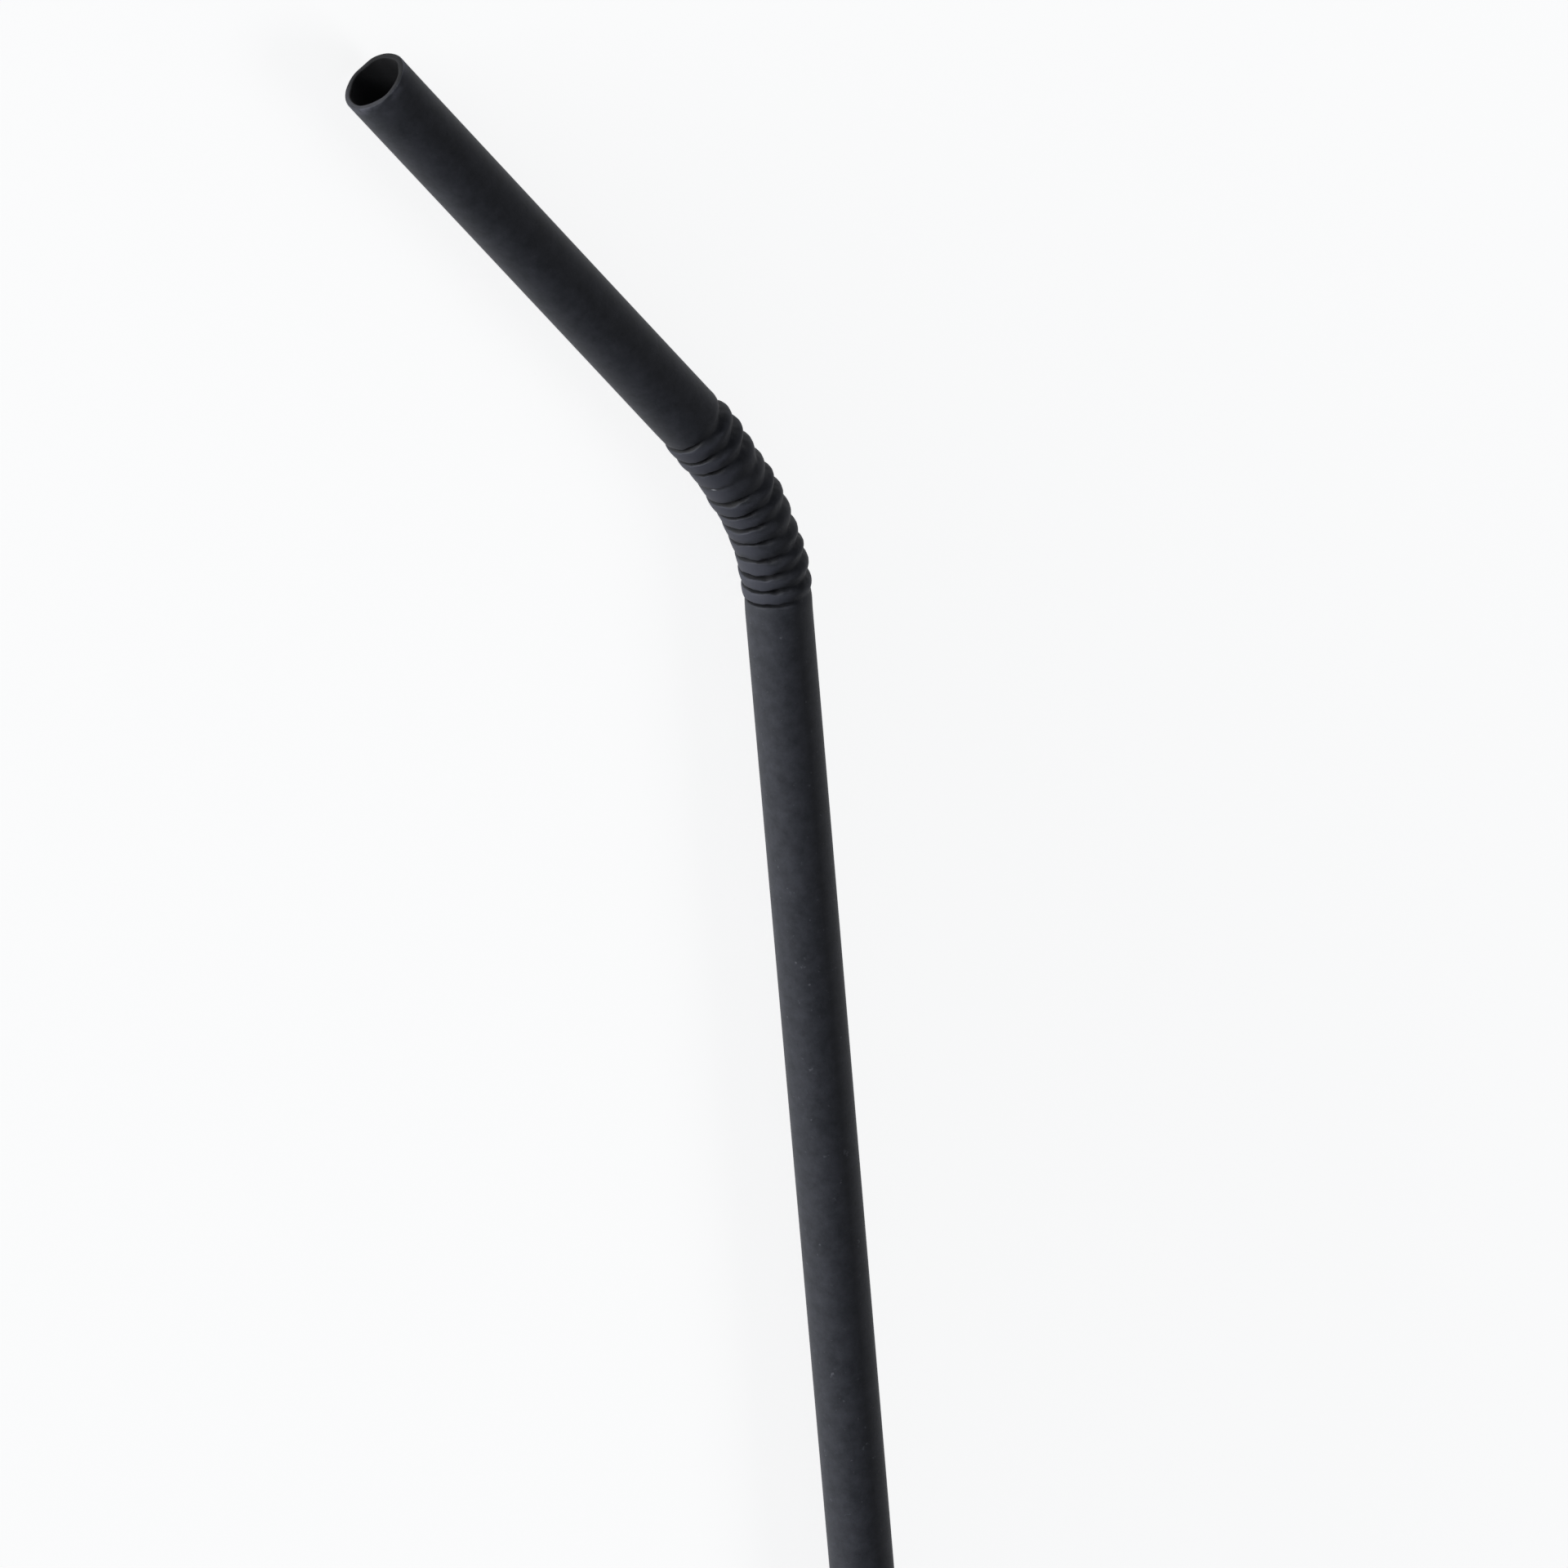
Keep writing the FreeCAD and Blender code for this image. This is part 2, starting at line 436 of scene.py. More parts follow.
def fold_shape(sizes, path, along, x, y):
    """Height of the outer wall above the plain tube, and its depth below its own ridge.

    On the inner side of the bend the ridges are flat bands pressed together, with a narrow,
    ragged slit between them. On the outer side they are round and their creases are open.
    side is 1 at the inner side, 0 on top and underneath, and -1 at the outer side.
    """
    side = x / sizes.tube_radius
    place = min(range(len(path.creases)), key=lambda k: abs(along - path.creases[k]))
    tight = tightness(side, place)
    crease = path.creases[place]
    rounding = sizes.crease_rounding * mix(OPEN_ROUNDING, 1.0, tight)
    gap = math.hypot(along - crease, rounding) - rounding
    ridge = place if along > crease else place - 1
    tilt = 0.0
    if 0 <= ridge < len(sizes.ridge_rise):
        reach = (path.creases[ridge + 1] - path.creases[ridge]) / 2
        rise = sizes.ridge_rise[ridge] * mix(RISE_ON_TOP, 1.0, side * side)
        past_middle = (along - path.creases[ridge]) / reach - 1
        tilt = sizes.ridge_tilt[ridge] * past_middle / 2
    else:
        reach = path.reach
        rise = sizes.flare * math.exp(-gap / FLARE_REACH) if place else 0.0
    nearness = max(0.0, 1 - gap / reach)
    firm = 1 + DEPTH_VARIES * wander(x, y, along, DEPTH_SIZE)
    firm *= 1 - slackness(place, x, y, sizes.tube_radius)

    opened = smooth_share(-side, OUTSIDE_FROM, 1.0)
    open_depth = firm * mix(sizes.top_depth[place], sizes.outer_depth[place], opened) + rise
    round_ridge = rise - open_depth * nearness ** mix(FALL_ON_TOP, FALL_OUTSIDE, opened)

    pinched = smooth_share(wander(x, y, along + 4 * MM, NARROWING_SIZE), -0.5, 0.5)
    slit_width = (1 - SLIT_NARROWING * pinched) * sizes.slit_width
    slit = max(0.0, 1 - gap / slit_width) ** SLIT_FALL
    crown = mix(CROWN_ON_TOP, CROWN_INSIDE, smooth_share(side, SQUEEZED_FROM, 1.0))
    drop = RIDGE_DROP * crown * rise
    flat_ridge = rise + tilt - (crown * sizes.pillow + drop) * nearness**3
    flat_ridge -= firm * (sizes.inner_depth[place] + rise - drop) * slit

    height = mix(round_ridge, flat_ridge, tight)
    return height, rise - height


def fold_wear_and_shading(height, depth, side):
    """1 on a ridge, for rubbed dye and painted light, and -1 deep in a crease, for painted shade.
    """
    rubbed_and_lit = smooth_share(height, 0.0, LIGHTER_RIDGE_HEIGHT)
    deep = smooth_share(depth, DARK_FROM, DARK_TO)
    return mix(WEAR_AND_SHADING_OUTSIDE, 1.0, tightness(side, 0)) * mix(rubbed_and_lit, -1.0, deep)


def raggedness(x, y, along):
    """How far a crease strays at a point: long kinks with short ones among them."""
    kinks = wander(x, y, along + 9 * MM, LONG_KINK)
    return kinks + SHORT_KINK_SHARE * wander(x, y, along, SHORT_KINK)


def press_folds(sizes, path, rings, profile, wear_and_painted_shading):
    """Press the ridges and creases into the outer wall, and let each crease wander a little."""
    first, last = path.creases[0] - 2 * path.reach, path.creases[-1] + 2 * path.reach
    middles = [(near + far) / 2 for near, far in zip(path.creases, path.creases[1:])]
    for ring, (along, radius) in zip(rings, profile):
        if along < first or along > path.end - sizes.rim_rounding:
            continue
        fade = max(0.0, min(1.0, min(along - first, last - along) / sizes.ridge_pitch))
        sway = fade * between(sizes.ridge_sway, middles, along)
        lean = fade * between(sizes.crease_lean, path.creases, along)
        bow = fade * between(sizes.crease_bow, path.creases, along)
        place = path.frame(along)
        back = place.inverted()
        for vertex in ring:
            x, y, z = back @ vertex.co
            spread = 1.0
            if radius == sizes.tube_radius:
                height, depth = fold_shape(sizes, path, along, x, y)
                if height < 0 or path.creases[0] < along < path.creases[-1]:
                    # Fold mark: ridges painted lighter (rubbed dye and painted light), creases in
                    # painted shade.
                    vertex[wear_and_painted_shading] = fold_wear_and_shading(height, depth, x / radius)
                spread += height / radius
                z += fade * sizes.crease_wander * raggedness(x, y, along)
            z += lean * x / radius - bow * y * abs(y) / (radius * radius)
            vertex.co = place @ Vector((x * spread - sway, y * spread, z))
            vertex.co.z = max(vertex.co.z, 0.0)


# How much a cut's outer and inner edges stray from a circle, as shares of the radius, and the
# lengths over which the edges and the face of the cut change.
CLEAN_EDGE, FRAYED_EDGE = 0.01, 0.05
EDGE_SIZE = 1.3 * MM
CUT_SIZE = 1.6 * MM


def roughen_rims(sizes, path, rings, profile):
    """Make both cuts a little uneven, more so at the inner edge, which the blade frayed."""
    # The margin takes in the last ring of the rounding.
    soft = 1.01 * sizes.rim_rounding
    for ring, (along, radius) in zip(rings, profile):
        if soft < along < path.end - soft:
            continue
        place = path.frame(along)
        back = place.inverted()
        frayed = radius < (sizes.tube_radius + sizes.bore_radius) / 2 - 0.01 * MM
        stray = FRAYED_EDGE if frayed else CLEAN_EDGE
        for vertex in ring:
            x, y, z = back @ vertex.co
            z += sizes.rim_wander * wander(x, y, along, CUT_SIZE)
            spread = 1 + stray * wander(x, y, along + 5 * MM, EDGE_SIZE)
            vertex.co = place @ Vector((x * spread, y * spread, z))


# How near the mouth must come to its place in the frame.
MOUTH_TOLERANCE = 0.02 * MM
# The wall within this distance of the bore shows its lining, painted darker as the bore's shade.
LINING_AND_SHADE_DEPTH = 0.3 * MM


def build_straw(sizes):
    """The straw's mesh, with what its material reads at each point.

    unbent is a point's place on the straight tube, from_end its distance from the nearer cut,
    cut and inside say whether it is on a cut or in the bore, and the fold mark is what the fold
    function gives: ridges lighter, for rubbed dye and painted light, and creases in painted shade.
    """
    path = Path(sizes)
    mouth = Vector(mounts["mouth_bore"]["pos_m"])
    if (path.frame(path.end).translation - mouth).length > MOUTH_TOLERANCE:
        raise RuntimeError("the straw's mouth isn't where the frame has it")
    profile = straw_rings(sizes, path)
    mesh = bmesh.new()
    unbent = mesh.verts.layers.float_vector.new("unbent")
    cut = mesh.verts.layers.float.new("cut")
    wear_and_painted_shading = mesh.verts.layers.float.new("wear_and_painted_shading")
    inside = mesh.verts.layers.float.new("inside")
    from_end = mesh.verts.layers.float.new("from_end")
    rings = wind_tube(mesh, len(profile), sizes.segments)
    for ring, (along, radius) in zip(rings, profile):
        place = path.frame(along)
        for vertex in ring:
            x, y = radius * vertex.co.x, radius * vertex.co.y
            vertex.co = place @ Vector((x, y, 0))
            vertex[unbent] = Vector((x, y, along))
            vertex[inside] = float(radius < sizes.bore_radius + LINING_AND_SHADE_DEPTH)
            near = min(along, path.end - along)
            vertex[from_end] = near
            vertex[cut] = float(near < 0.5 * sizes.rim_rounding)
    press_folds(sizes, path, rings, profile, wear_and_painted_shading)
    roughen_rims(sizes, path, rings, profile)
    bmesh.ops.recalc_face_normals(mesh, faces=mesh.faces[:])
    for face in mesh.faces:
        face.smooth = True
    data = bpy.data.meshes.new("wound_paper_straw")
    mesh.to_mesh(data)
    mesh.free()
    straw = bpy.data.objects.new("wound_paper_straw", data)
    bpy.context.scene.collection.objects.link(straw)
    return straw


# ---------------------------------------------------------------------------
# Materials
# ---------------------------------------------------------------------------


# A Mix node keeps its colour sockets at these places.
FIRST, SECOND, MIXED = 6, 7, 2


def add_node(tree, kind, settings=None, inputs=None):
    """Add a node, set its properties, and give each named input a value or a link."""
    node = tree.nodes.new(kind)
    for name, value in (settings or {}).items():
        setattr(node, name, value)
    for name, value in (inputs or {}).items():
        if isinstance(value, bpy.types.NodeSocket):
            tree.links.new(value, node.inputs[name])
        else:
            node.inputs[name].default_value = value
    return node


def new_material(name):
    material = bpy.data.materials.new(name)
    material.use_nodes = True
    material.node_tree.nodes.clear()
    return material, material.node_tree


# The dye: how far apart its clouds are, and the part of their noise from dark to pale.
CLOUD_SIZE = 1.5 * MM
CLOUD_FROM, CLOUD_TO = 0.33, 0.72
# Fibre ends: the same for the specks, how pale they are on the stem and past it, and how far on
# each side of the first crease that changes.
FLECK_SIZE = 0.65 * MM
FLECK_FROM, FLECK_TO = 0.685, 0.79
FLECK_ON_STEM, FLECK_PAST_STEM = 0.5, 0.1
FLECK_FADE = 3 * MM
# Patches where handling has scuffed the paper, and how far from a cut they go.
PATCH_SIZE = 1.6 * MM
PATCH_FROM, PATCH_TO = 0.42, 0.62
SCUFF_FULL, SCUFF_GONE = 0.1 * MM, 1.1 * MM
# Where the side that was held begins and where it is scuffed all over, inwards from the axis.
HELD_FROM, HELD_TO = -1.6 * MM, -2.6 * MM
# A painted highlight, a pale spot by the slack crease: its angle up from the inner side, its
# distance before the crease, half its lengths across and along the tube, the share of them that
# it fills, and how much of its colour shows.
GLINT_ANGLE = math.radians(27)
GLINT_BEFORE = 0.1 * MM
GLINT_HALVES = (0.34 * MM, 0.34 * MM, 0.06 * MM)
GLINT_CORE = 0.3
GLINT_SHOWS = 0.85
# The cut: its plies, how much paper shows at a glue line and how far into the ply that lasts.
PLY_COUNT = 3
GLUE_LINE_SHOWS = 0.35
GLUE_LINE_SHARE = 0.3
# The cut's painted light and shade: the side facing the light, where towards it the cut goes from
# painted shade to lit, and how much paper the shaded side shows.
LIT_CUT_SIDE = (0.94, 0.34, 0.0)
CUT_IN_SHADE, CUT_IN_LIGHT = -0.6 * MM, 2.4 * MM
SHADED_CUT_SHOWS = 0.1
# Fibres: the size of their felt, and how strongly and how deeply it stands out.
FELT_SIZE = 0.25 * MM
FELT_STRENGTH = 0.4
FELT_DEPTH = 0.03 * MM
# Roughness of the sized paper and of its raw cut.
PAPER_ROUGHNESS, CUT_ROUGHNESS = 0.7, 0.95


def glint_place(sizes):
    """Middle of the painted highlight on the unbent tube: inwards and up, just before the slack
    crease.
    """
    drift = sizes.crease_drift[SLACK_CREASE]
    crease = sizes.stem_length + SLACK_CREASE * sizes.ridge_pitch + drift
    radius = sizes.tube_radius
    across = (radius * math.cos(GLINT_ANGLE), radius * math.sin(GLINT_ANGLE))
    return (*across, crease - GLINT_BEFORE)


def charcoal_wound_paper(look, sizes):
    """Charcoal-dyed kraft paper, wound and glued.

    Matt paper with a faint sizing gloss that shows only along the tube's edges. The dye lies in
    soft clouds, pale fibre ends fleck the stem, and the raw cut is greyer. Painted into the colour
    are light on the fold ridges, shade in the creases and the bore, a highlight by the slack
    crease, and light and shade across the cut.
    """
    material, tree = new_material("charcoal_wound_paper")
    place = add_node(tree, "ShaderNodeAttribute", {"attribute_name": "unbent"}).outputs["Vector"]
    cut = add_node(tree, "ShaderNodeAttribute", {"attribute_name": "cut"}).outputs["Fac"]
    inside = add_node(tree, "ShaderNodeAttribute", {"attribute_name": "inside"}).outputs["Fac"]

    # Clouding of the dye: soft patches, broken up down to single fibres.
    clouds = add_node(
        tree,
        "ShaderNodeTexNoise",
        inputs={"Vector": place, "Scale": 1 / CLOUD_SIZE, "Detail": 5.0, "Roughness": 0.72},
    )
    thin = add_node(
        tree,
        "ShaderNodeMapRange",
        inputs={"Value": clouds.outputs["Fac"], "From Min": CLOUD_FROM, "From Max": CLOUD_TO},
    )
    dyed = add_node(
        tree,
        "ShaderNodeMix",
        {"data_type": "RGBA"},
        {"Factor": thin.outputs["Result"], FIRST: look.paper, SECOND: look.wear_and_painted_shading},
    )

    # Fibre ends: soft specks 0.1 to 0.2 mm across, one in every few square millimetres of stem.
    ends = add_node(
        tree,
        "ShaderNodeTexNoise",
        inputs={"Vector": place, "Scale": 1 / FLECK_SIZE, "Detail": 2.0, "Roughness": 0.6},
    )
    along = add_node(
        tree, "ShaderNodeVectorMath", {"operation": "DOT_PRODUCT"}, {0: place, 1: (0.0, 0.0, 1.0)}
    ).outputs["Value"]
    # Folding and handling have rubbed most of them off past the stem.
    left = add_node(
        tree,
        "ShaderNodeMapRange",
        inputs={
            "Value": along,
            "From Min": sizes.stem_length - FLECK_FADE,
            "From Max": sizes.stem_length + FLECK_FADE,
            "To Min": FLECK_ON_STEM,
            "To Max": FLECK_PAST_STEM,
        },
    )
    fleck = add_node(
        tree,
        "ShaderNodeMapRange",
        inputs={
            "Value": ends.outputs["Fac"],
            "From Min": FLECK_FROM,
            "From Max": FLECK_TO,
            "To Max": left.outputs["Result"],
        },
    )
    flecked = add_node(
        tree,
        "ShaderNodeMix",
        {"data_type": "RGBA"},
        {"Factor": fleck.outputs["Result"], FIRST: dyed.outputs[MIXED], SECOND: look.fleck},
    )

    # Handling has scuffed the outside pale, in patches, over the last millimetre before a cut.
    from_end = add_node(tree, "ShaderNodeAttribute", {"attribute_name": "from_end"}).outputs["Fac"]
    near_end = add_node(
        tree,
        "ShaderNodeMapRange",
        {"interpolation_type": "SMOOTHSTEP"},
        {
            "Value": from_end,
            "From Min": SCUFF_FULL,
            "From Max": SCUFF_GONE,
            "To Min": 1.0,
            "To Max": 0.0,
        },
    )
    patches = add_node(
        tree,
        "ShaderNodeTexNoise",
        inputs={"Vector": place, "Scale": 1 / PATCH_SIZE, "Detail": 3.0, "Roughness": 0.6},
    )
    patchy = add_node(
        tree,
        "ShaderNodeMapRange",
        inputs={"Value": patches.outputs["Fac"], "From Min": PATCH_FROM, "From Max": PATCH_TO},
    )
    # There the outer side of the bend, which was held, is scuffed all over.
    inwards = add_node(
        tree, "ShaderNodeVectorMath", {"operation": "DOT_PRODUCT"}, {0: place, 1: (1.0, 0.0, 0.0)}
    ).outputs["Value"]
    held = add_node(
        tree,
        "ShaderNodeMapRange",
        {"interpolation_type": "SMOOTHSTEP"},
        {"Value": inwards, "From Min": HELD_FROM, "From Max": HELD_TO},
    )
    marked = add_node(
        tree,
        "ShaderNodeMath",
        {"operation": "MAXIMUM"},
        {0: patchy.outputs["Result"], 1: held.outputs["Result"]},
    )
    scuff = add_node(
        tree,
        "ShaderNodeMath",
        {"operation": "MULTIPLY"},
        {0: near_end.outputs["Result"], 1: marked.outputs["Value"]},
    )
    scuffed = add_node(
        tree,
        "ShaderNodeMix",
        {"data_type": "RGBA"},
        {"Factor": scuff.outputs["Value"], FIRST: flecked.outputs[MIXED], SECOND: look.scuff},
    )

    # A painted highlight, a short pale spot by the slack crease: how far a point is from its
    # middle, in half lengths.
    offset = add_node(
        tree, "ShaderNodeVectorMath", {"operation": "SUBTRACT"}, {0: place, 1: glint_place(sizes)}
    )
    half_lengths = add_node(
        tree,
        "ShaderNodeVectorMath",
        {"operation": "DIVIDE"},
        {0: offset.outputs["Vector"], 1: GLINT_HALVES},
    )
    reach = add_node(
        tree, "ShaderNodeVectorMath", {"operation": "LENGTH"}, {0: half_lengths.outputs["Vector"]}
    )
    glint_mask = add_node(
        tree,
        "ShaderNodeMapRange",
        inputs={
            "Value": reach.outputs["Value"],
            "From Min": 1.0,
            "From Max": GLINT_CORE,
            "To Max": GLINT_SHOWS,
        },
    )

    # The ridges are painted lighter, partly rubbed dye and partly painted light on the lit inner
    # side of the bend, and the creases are painted darker as shade.
    wear_and_painted_shading = add_node(tree, "ShaderNodeAttribute", {"attribute_name": "wear_and_painted_shading"}).outputs["Fac"]
    deep = add_node(
        tree, "ShaderNodeMath", {"operation": "MULTIPLY", "use_clamp": True}, {0: wear_and_painted_shading, 1: -1.0}
    )
    rubbed_and_lit = add_node(
        tree,
        "ShaderNodeMix",
        {"data_type": "RGBA"},
        {"Factor": wear_and_painted_shading, FIRST: scuffed.outputs[MIXED], SECOND: look.rubbed_and_lit},
    )
    # Painted shade in the creases, strongest on the inner side of the bend.
    creased = add_node(
        tree,
        "ShaderNodeMix",
        {"data_type": "RGBA"},
        {"Factor": deep.outputs["Value"], FIRST: rubbed_and_lit.outputs[MIXED], SECOND: look.crease},
    )
    glinted = add_node(
        tree,
        "ShaderNodeMix",
        {"data_type": "RGBA"},
        {"Factor": glint_mask.outputs["Result"], FIRST: creased.outputs[MIXED], SECOND: look.painted_glint},
    )
    # The bore takes the lining's colour, painted dark as the shade inside it.
    lined_and_shaded = add_node(
        tree,
        "ShaderNodeMix",
        {"data_type": "RGBA"},
        {"Factor": inside, FIRST: glinted.outputs[MIXED], SECOND: look.lining_and_shade},
    )

    # The cut shows the plies, each ply's edge fading darker into its glue line.
    flat_place = add_node(
        tree, "ShaderNodeVectorMath", {"operation": "MULTIPLY"}, {0: place, 1: (1.0, 1.0, 0.0)}
    )
    from_axis = add_node(
        tree, "ShaderNodeVectorMath", {"operation": "LENGTH"}, {0: flat_place.outputs["Vector"]}
    )
    ply = (sizes.tube_radius - sizes.bore_radius) / PLY_COUNT
    into_ply = add_node(
        tree,
        "ShaderNodeMath",
        {"operation": "PINGPONG"},
        {0: from_axis.outputs["Value"], 1: ply / 2},
    )
    ply_face = add_node(
        tree,
        "ShaderNodeMapRange",
        inputs={
            "Value": into_ply.outputs["Value"],
            "From Min": 0.0,
            "From Max": GLUE_LINE_SHARE * ply,
            "To Min": GLUE_LINE_SHOWS,
        },
    )
    # Painted light and shade on the cut: pale towards the inner, upper side of the bend, which
    # faces the light, and in painted shade, the glue lines' dark colour, on the far side. Its dust
    # shows only where lit.
    towards_light = add_node(
        tree, "ShaderNodeVectorMath", {"operation": "DOT_PRODUCT"}, {0: place, 1: LIT_CUT_SIDE}
    ).outputs["Value"]
    cut_light = add_node(
        tree,
        "ShaderNodeMapRange",
        {"interpolation_type": "SMOOTHSTEP"},
        {
            "Value": towards_light,
            "From Min": CUT_IN_SHADE,
            "From Max": CUT_IN_LIGHT,
            "To Min": SHADED_CUT_SHOWS,
            "To Max": 1.0,
        },
    )
    bare = add_node(
        tree,
        "ShaderNodeMath",
        {"operation": "MULTIPLY"},
        {0: ply_face.outputs["Result"], 1: cut_light.outputs["Result"]},
    )
    lit_dust = add_node(
        tree,
        "ShaderNodeMath",
        {"operation": "MULTIPLY"},
        {0: patchy.outputs["Result"], 1: cut_light.outputs["Result"]},
    )
    cut_plies = add_node(
        tree,
        "ShaderNodeMix",
        {"data_type": "RGBA"},
        {"Factor": bare.outputs["Value"], FIRST: look.glue_and_cut_shade, SECOND: look.cut},
    )
    dusted = add_node(
        tree,
        "ShaderNodeMix",
        {"data_type": "RGBA"},
        {"Factor": lit_dust.outputs["Value"], FIRST: cut_plies.outputs[MIXED], SECOND: look.cut},
    )
    coloured = add_node(
        tree,
        "ShaderNodeMix",
        {"data_type": "RGBA"},
        {"Factor": cut, FIRST: lined_and_shaded.outputs[MIXED], SECOND: dusted.outputs[MIXED]},
    )

    # Fibres: a fine felt of short strands, drawn coarser than they are so that it shows.
    felt = add_node(
        tree,
        "ShaderNodeTexNoise",
        inputs={"Vector": place, "Scale": 1 / FELT_SIZE, "Detail": 3.0, "Roughness": 0.6},
    )
    relief = add_node(
        tree,
        "ShaderNodeBump",
        inputs={
            "Height": felt.outputs["Fac"],
            "Strength": FELT_STRENGTH,
            "Distance": FELT_DEPTH,
        },
    )
    roughness = add_node(
        tree,
        "ShaderNodeMapRange",
        inputs={"Value": cut, "To Min": PAPER_ROUGHNESS, "To Max": CUT_ROUGHNESS},
    )
    paper = add_node(
        tree,
        "ShaderNodeBsdfPrincipled",
        inputs={
            "Base Color": coloured.outputs[MIXED],
            "Normal": relief.outputs["Normal"],
            "Roughness": roughness.outputs["Result"],
            "IOR": 1.5,
        },
    )
    add_node(tree, "ShaderNodeOutputMaterial", inputs={"Surface": paper.outputs["BSDF"]})
    return material


def matt_floor(look):
    """Pale matt board, which the camera sees as white and which keeps the straw's shadow.

    Its glow lights nothing, but glossy surfaces reflect it, as they would a bright white floor.
    """
    material, tree = new_material("matt_floor_board")
    board = add_node(tree, "ShaderNodeBsdfDiffuse", inputs={"Color": look.floor})
    rays = add_node(tree, "ShaderNodeLightPath").outputs
    reflected = add_node(
        tree,
        "ShaderNodeMath",
        {"operation": "MULTIPLY"},
        {0: rays["Is Glossy Ray"], 1: look.glossy_glow},
    )
    seen = add_node(
        tree,
        "ShaderNodeMath",
        {"operation": "MULTIPLY_ADD"},
        {0: rays["Is Camera Ray"], 1: look.floor_glow, 2: reflected.outputs["Value"]},
    )
    glow = add_node(tree, "ShaderNodeEmission", inputs={"Strength": seen.outputs["Value"]})
    lit = add_node(
        tree, "ShaderNodeAddShader", inputs={0: board.outputs["BSDF"], 1: glow.outputs["Emission"]}
    )
    add_node(tree, "ShaderNodeOutputMaterial", inputs={"Surface": lit.outputs["Shader"]})
    return material


# Upward and +X parts of a direction between which the walls fade, and the dim end's share.
CEILING_FROM, CEILING_TO = 0.1, 0.35
DIM_END_FROM, DIM_END_TO = -0.1, 0.6
DIM_END_SHARE = 0.3


def studio_walls(look):
    """White walls that fade into a dim ceiling, and a dim end where the arm points."""
    world = bpy.data.worlds.new("studio_walls")
    world.use_nodes = True
    tree = world.node_tree
    tree.nodes.clear()
    direction = add_node(tree, "ShaderNodeTexCoord").outputs["Generated"]
    part = add_node(tree, "ShaderNodeSeparateXYZ", inputs={"Vector": direction}).outputs
    below = add_node(
        tree,
        "ShaderNodeMapRange",
        {"interpolation_type": "SMOOTHSTEP"},
        {
            "Value": part["Z"],
            "From Min": CEILING_FROM,
            "From Max": CEILING_TO,
            "To Min": 1.0,
            "To Max": 0.0,
        },
    )
    behind = add_node(
        tree,
        "ShaderNodeMapRange",
        {"interpolation_type": "SMOOTHSTEP"},
        {
            "Value": part["X"],
            "From Min": DIM_END_FROM,
            "From Max": DIM_END_TO,
            "To Min": 1.0,
            "To Max": DIM_END_SHARE,
        },
    )
    white = add_node(
        tree,
        "ShaderNodeMath",
        {"operation": "MULTIPLY"},
        {0: below.outputs["Result"], 1: behind.outputs["Result"]},
    )
    wall = add_node(
        tree,
        "ShaderNodeMapRange",
        inputs={
            "Value": white.outputs["Value"],
            "To Min": look.ceiling_level,
            "To Max": look.wall_level,
        },
    )
    # Past the floor's edge the camera sees the walls at their full colour.
    rays = add_node(tree, "ShaderNodeLightPath").outputs
    level = add_node(
        tree,
        "ShaderNodeMath",
        {"operation": "MAXIMUM"},
        {0: wall.outputs["Result"], 1: rays["Is Camera Ray"]},
    )
    room = add_node(
        tree,
        "ShaderNodeBackground",
        inputs={"Color": look.walls, "Strength": level.outputs["Value"]},
    )
    add_node(tree, "ShaderNodeOutputWorld", inputs={"Surface": room.outputs["Background"]})
    return world


# ---------------------------------------------------------------------------
# Operators and panel
# ---------------------------------------------------------------------------


class STRAW_OT_build_straw(bpy.types.Operator):
    """Build the wound-paper straw in place of the plain solid"""

    bl_idname = "straw.build_straw"
    bl_label = "Build Straw"

    def execute(self, context):
        scene = context.scene
        straw = build_straw(scene.straw_sizes)
        straw.data.materials.append(charcoal_wound_paper(scene.straw_paper, scene.straw_sizes))
        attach(straw, "root")
        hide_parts(NODE)
        return {"FINISHED"}


# The camera and the lamps aim at this point on the floor, measured from the foot of the straw.
AIM_FROM_FOOT = Vector((121.4 * MM, 1.04 * MM, 0.0))
# Compass place, height angle, distance, width and height of the lamps, in radians and metres.
WINDOW_SOFTBOX = (math.radians(57), math.radians(1.5), 1.2, 1.2, 0.12)
FAR_SOFTBOX = (math.radians(240), math.radians(28), 1.2, 0.6, 0.4)
# Half the floor's width.
FLOOR_REACH = 4.0


def turned_towards(place, target):
    """A placing at one point that faces another: local -Z looks at the target."""
    facing = (place - target).to_track_quat("Z", "Y")
    return Matrix.Translation(place) @ facing.to_matrix().to_4x4()


def from_angles(azimuth, elevation):
    """The direction from the aim to a compass place and height angle."""
    across = math.cos(elevation)
    return Vector((across * math.cos(azimuth), across * math.sin(azimuth), math.sin(elevation)))


def add_softbox(name, target, azimuth, elevation, distance, width, height, level):
    """A lamp that lights a white card facing it to the given level."""
    data = bpy.data.lights.new(name, "AREA")
    data.shape = "RECTANGLE"
    data.size = width
    data.size_y = height
    data.energy = level * (math.pi * distance) ** 2
    lamp = bpy.data.objects.new(name, data)
    place = target + distance * from_angles(azimuth, elevation)
    lamp.matrix_world = turned_towards(place, target)
    bpy.context.scene.collection.objects.link(lamp)


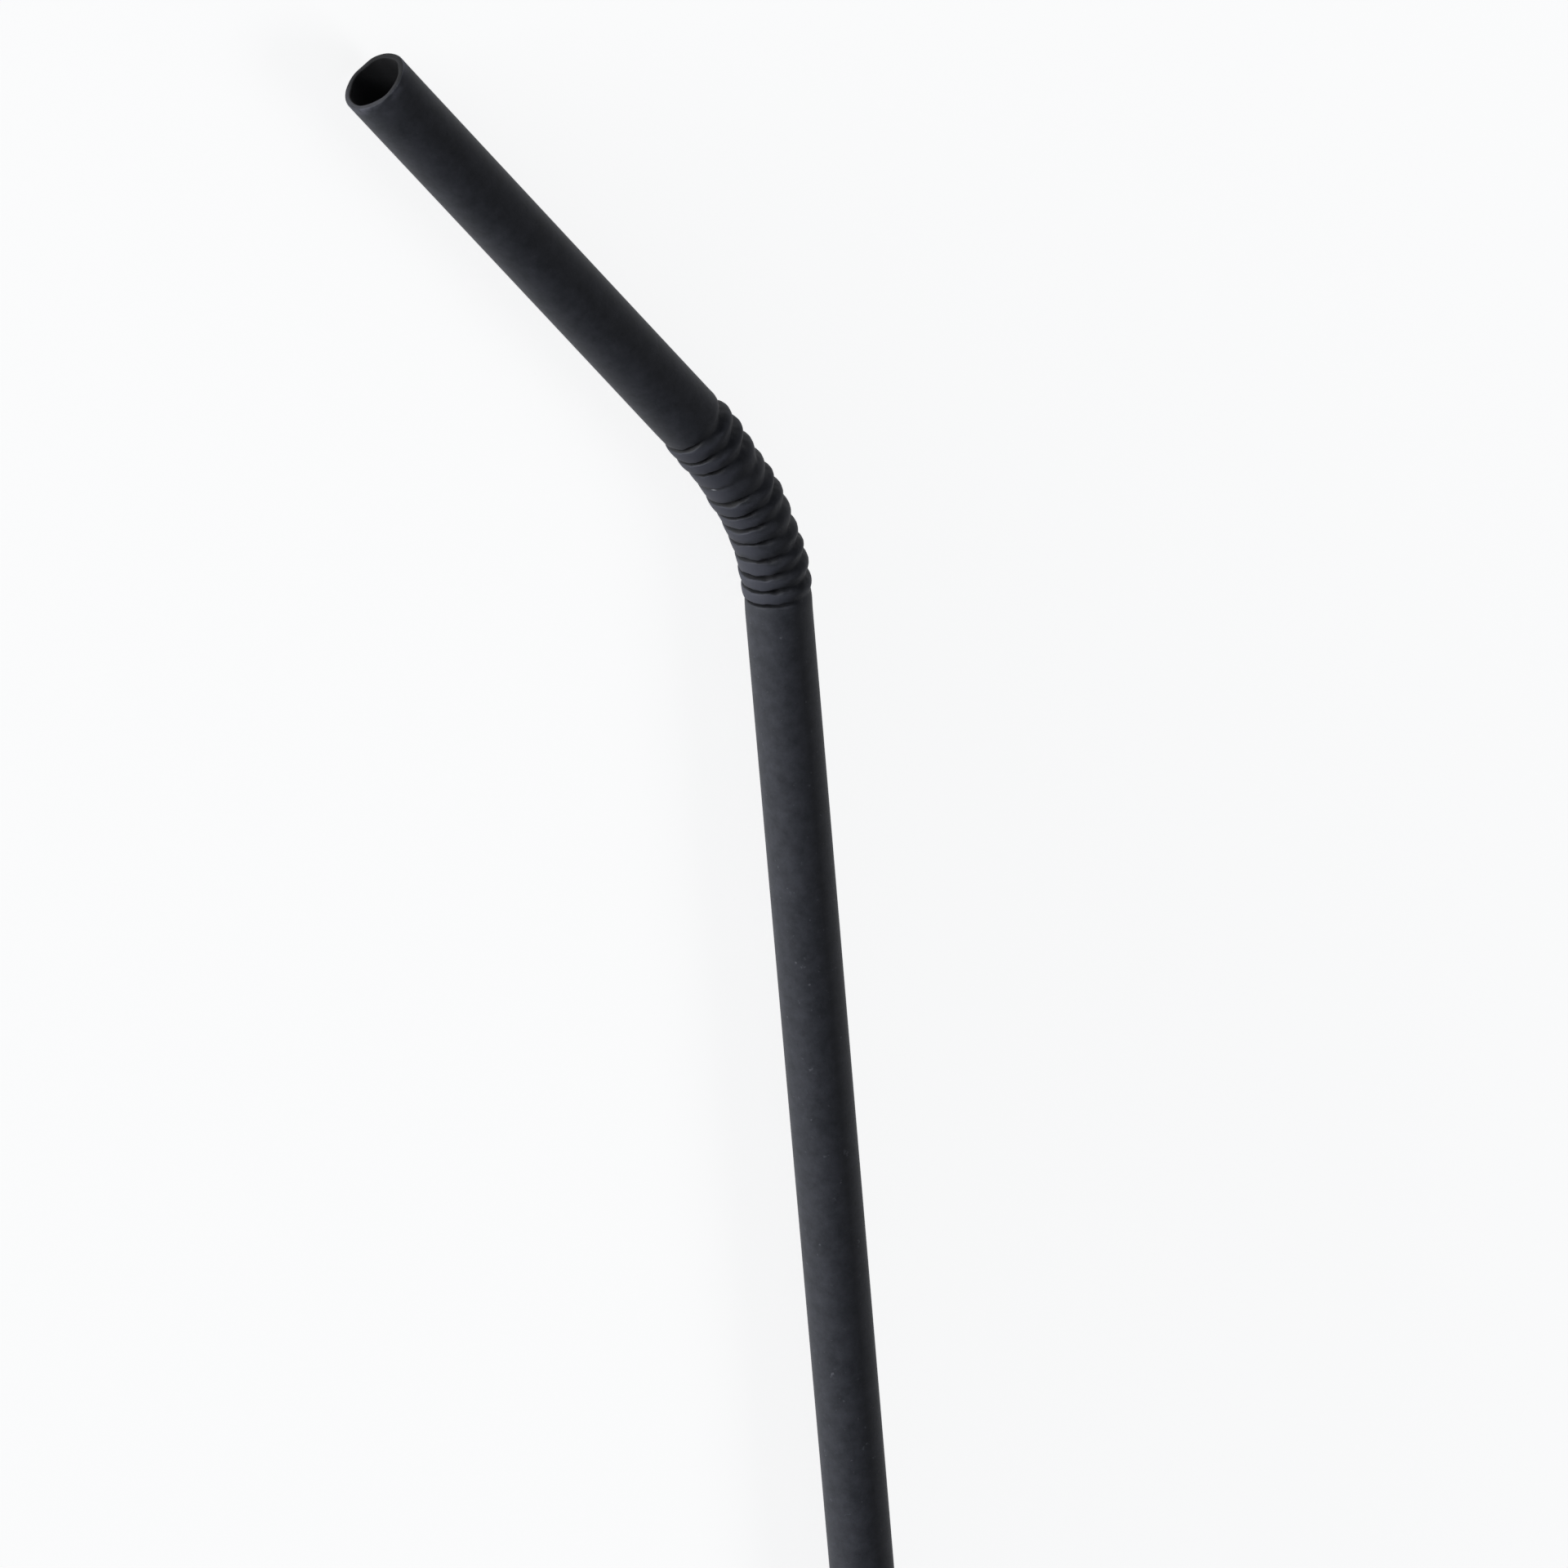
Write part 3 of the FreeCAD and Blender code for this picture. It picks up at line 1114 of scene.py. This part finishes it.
class STRAW_OT_set_stage(bpy.types.Operator):
    """Add the floor, the soft lamps, the room's light and the camera"""

    bl_idname = "straw.set_stage"
    bl_label = "Set Stage"

    def execute(self, context):
        scene = context.scene
        studio = scene.straw_studio
        mesh = bmesh.new()
        bmesh.ops.create_grid(mesh, x_segments=1, y_segments=1, size=FLOOR_REACH)
        data = bpy.data.meshes.new("floor")
        mesh.to_mesh(data)
        mesh.free()
        floor = bpy.data.objects.new("floor", data)
        scene.collection.objects.link(floor)
        data.materials.append(matt_floor(studio))

        aim = Vector(mounts["stem_outside"]["pos_m"]) + AIM_FROM_FOOT
        add_softbox("window_softbox", aim, *WINDOW_SOFTBOX, studio.key_level)
        add_softbox("far_softbox", aim, *FAR_SOFTBOX, studio.fill_level)
        scene.world = studio_walls(studio)

        data = bpy.data.cameras.new("camera")
        data.lens = studio.lens
        camera = bpy.data.objects.new("camera", data)
        place = aim + studio.distance * from_angles(studio.azimuth, studio.elevation)
        camera.matrix_world = turned_towards(place, aim) @ Matrix.Rotation(studio.roll, 4, "Z")
        scene.collection.objects.link(camera)
        scene.camera = camera
        scene.view_settings.view_transform = "Standard"
        return {"FINISHED"}


class STRAW_PT_panel(bpy.types.Panel):
    """Lists the straw's sizes, colours and steps"""

    bl_idname = "STRAW_PT_panel"
    bl_label = "Bendy Paper Straw"
    bl_space_type = "VIEW_3D"
    bl_region_type = "UI"
    bl_category = "Straw"

    def draw(self, context):
        layout = self.layout
        scene = context.scene
        for operator in OPERATORS:
            layout.operator(operator.bl_idname)
        for group in (scene.straw_sizes, scene.straw_paper, scene.straw_studio):
            box = layout.box()
            for name in group.__annotations__:
                box.prop(group, name)


OPERATORS = (STRAW_OT_build_straw, STRAW_OT_set_stage)
GROUPS = {"straw_sizes": StrawSizes, "straw_paper": PaperLook, "straw_studio": StudioLook}


def register():
    for group_name, group in GROUPS.items():
        bpy.utils.register_class(group)
        setattr(bpy.types.Scene, group_name, bpy.props.PointerProperty(type=group))
    for member in (*OPERATORS, STRAW_PT_panel):
        bpy.utils.register_class(member)


def unregister():
    for member in (STRAW_PT_panel, *reversed(OPERATORS)):
        bpy.utils.unregister_class(member)
    for group_name, group in reversed(GROUPS.items()):
        delattr(bpy.types.Scene, group_name)
        bpy.utils.unregister_class(group)


def main():
    register()
    bpy.ops.straw.build_straw()
    bpy.ops.straw.set_stage()


if __name__ == "__main__":
    main()
